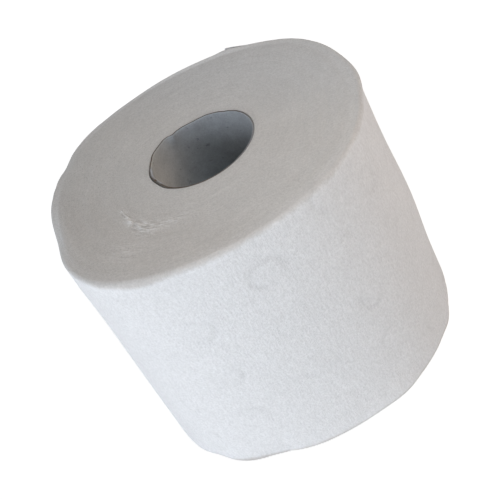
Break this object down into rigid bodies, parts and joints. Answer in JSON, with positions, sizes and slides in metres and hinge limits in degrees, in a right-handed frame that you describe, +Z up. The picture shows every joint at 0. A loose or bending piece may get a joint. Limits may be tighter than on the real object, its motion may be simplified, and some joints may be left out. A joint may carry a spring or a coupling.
{
  "type": "toilet paper roll",
  "caption": "White toilet paper roll: a web of tissue wound on an open card tube, slightly squeezed out of round, with soft edges and a loose end, for a holder's spindle.",
  "frame": {"origin": "on the tube's axis at the roll's lower end", "axes": "+Z up the tube's axis, -Y to the side that faces the picture's viewer"},
  "size_m": [0.1181, 0.1179, 0.095],
  "materials": {
    "tissue": "matt white tissue, softly fibrous, with faint embossing",
    "core_board": "matt grey recycled board with a brown cut edge"
  },
  "bodies": {
    "root": {"paper_roll": "tissue", "core_tube": "core_board"}
  },
  "joints": []
}
